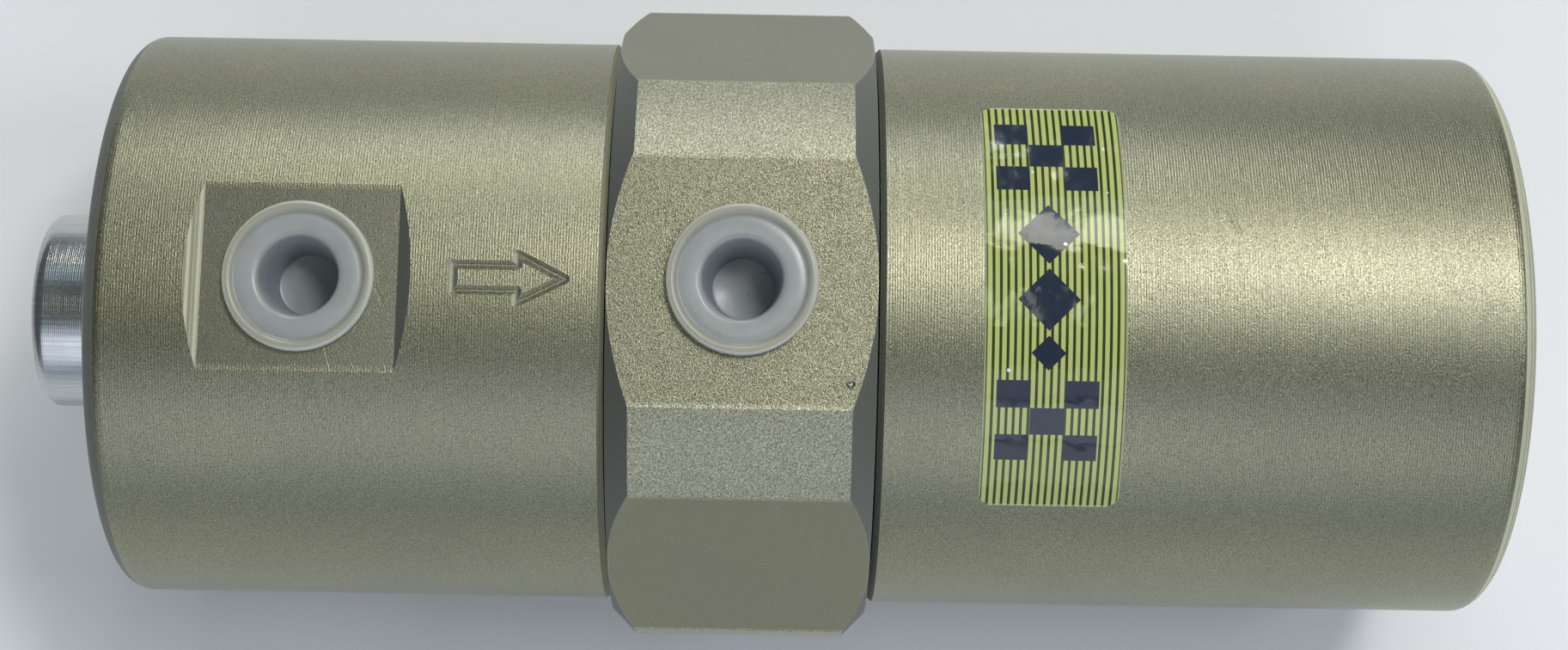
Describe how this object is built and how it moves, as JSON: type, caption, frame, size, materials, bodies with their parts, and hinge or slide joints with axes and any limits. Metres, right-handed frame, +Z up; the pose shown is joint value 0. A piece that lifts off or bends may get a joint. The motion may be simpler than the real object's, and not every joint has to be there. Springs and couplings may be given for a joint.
{
  "type": "compressed air filter",
  "caption": "Inline compressed air filter: turned pressure shells either side of a hexagonal centre block, threaded ports facing up with push-in caps, and a round drain plug in the inlet end.",
  "frame": {"origin": "under the middle of the filter's length and width, on the plane of the wrench flat that it rests on", "axes": "+X along the filter's own axis in the direction of flow, from the drain plug towards the bowl; +Z up, along both ports' axes; +Y across"},
  "size_m": [0.2054, 0.09, 0.0851],
  "materials": {
    "hard_anodised_aluminium": "fine turned, hard anodised olive-bronze",
    "label_film": "glossy printed film",
    "zinc_plated_steel": "bright zinc plate",
    "seal_rubber": "black nitrile rubber",
    "cap_polyethylene": "milky translucent polyethylene",
    "backup_ring_plastic": "white filled plastic",
    "stainless_sheet": "punched stainless sheet",
    "plain_brass": "turned brass",
    "sintered_bronze": "sintered bronze beads",
    "plain_aluminium": "drawn and turned, uncoated",
    "gasket_fibre": "compressed fibre",
    "filter_felt": "needled felt",
    "molecular_sieve_beads": "fine beads",
    "activated_carbon": "granular",
    "spring_steel": "drawn wire"
  },
  "bodies": {
    "hex_body": {"hex_body": "hard_anodised_aluminium", "housing_o_ring": "seal_rubber", "housing_backup_ring": "backup_ring_plastic", "bowl_o_ring": "seal_rubber", "bowl_backup_ring": "backup_ring_plastic", "cartridge_o_ring": "seal_rubber", "separator_tube": "plain_brass"},
    "separator": {"separator_element": "sintered_bronze", "separator_gasket": "gasket_fibre", "separator_cap_gasket": "gasket_fibre", "separator_end_cap": "plain_aluminium", "separator_nut": "plain_brass"},
    "housing_carriage": {"condensate_baffle": "stainless_sheet"},
    "inlet_housing": {"inlet_housing": "hard_anodised_aluminium"},
    "inlet_cap": {"inlet_port_cap": "cap_polyethylene"},
    "outlet_cap": {"outlet_port_cap": "cap_polyethylene"},
    "drain_seal": {"drain_seal_ring": "zinc_plated_steel", "drain_seal_lip": "seal_rubber"},
    "drain_plug": {"drain_plug": "zinc_plated_steel"},
    "cartridge": {"cartridge_shell": "plain_aluminium", "cartridge_inlet_cap": "plain_aluminium", "cartridge_outlet_cap": "plain_aluminium", "cartridge_inlet_screen": "stainless_sheet", "cartridge_outlet_screen": "stainless_sheet", "cartridge_inlet_felt": "filter_felt", "cartridge_middle_felt": "filter_felt", "cartridge_outlet_felt": "filter_felt", "drying_bed": "molecular_sieve_beads", "carbon_bed": "activated_carbon"},
    "bowl_carriage": {"cartridge_spring": "spring_steel", "spring_seat": "stainless_sheet"},
    "filter_bowl": {"filter_bowl": "hard_anodised_aluminium", "label": "label_film"}
  },
  "joints": [
    {"name": "housing_travel", "type": "slide", "parent": "hex_body", "child": "housing_carriage", "axis": [-1, 0, 0], "range_m": [0, 0.12]},
    {"name": "housing_turn", "type": "hinge", "parent": "housing_carriage", "child": "inlet_housing", "pos_m": [0, 0, 0.04175], "axis": [1, 0, 0], "range_deg": [0, 21600]},
    {"name": "separator_travel", "type": "slide", "parent": "hex_body", "child": "separator", "axis": [-1, 0, 0], "range_m": [0, 0.054]},
    {"name": "bowl_travel", "type": "slide", "parent": "hex_body", "child": "bowl_carriage", "axis": [1, 0, 0], "range_m": [0, 0.11]},
    {"name": "bowl_turn", "type": "hinge", "parent": "bowl_carriage", "child": "filter_bowl", "pos_m": [0, 0, 0.04175], "axis": [1, 0, 0], "range_deg": [-19800, 0]},
    {"name": "cartridge_travel", "type": "slide", "parent": "hex_body", "child": "cartridge", "axis": [1, 0, 0], "range_m": [0, 0.033]},
    {"name": "drain_travel", "type": "slide", "parent": "inlet_housing", "child": "drain_seal", "axis": [-1, 0, 0], "range_m": [0, 0.03]},
    {"name": "drain_turn", "type": "hinge", "parent": "drain_seal", "child": "drain_plug", "pos_m": [0, 0, 0.04175], "axis": [1, 0, 0], "range_deg": [0, 7200]},
    {"name": "inlet_cap_pull", "type": "slide", "parent": "inlet_housing", "child": "inlet_cap", "axis": [0, 0, 1], "range_m": [0, 0.06]},
    {"name": "outlet_cap_pull", "type": "slide", "parent": "hex_body", "child": "outlet_cap", "axis": [0, 0, 1], "range_m": [0, 0.06]}
  ],
  "couplings": [
    {"joint": "housing_travel", "follows": "housing_turn", "m_per_rad": 0.00031831},
    {"joint": "separator_travel", "follows": "housing_turn", "m_per_rad": 0.00014324},
    {"joint": "bowl_travel", "follows": "bowl_turn", "m_per_rad": -0.00031831},
    {"joint": "cartridge_travel", "follows": "bowl_turn", "m_per_rad": -0.000095493},
    {"joint": "drain_travel", "follows": "drain_turn", "m_per_rad": 0.00023873}
  ]
}
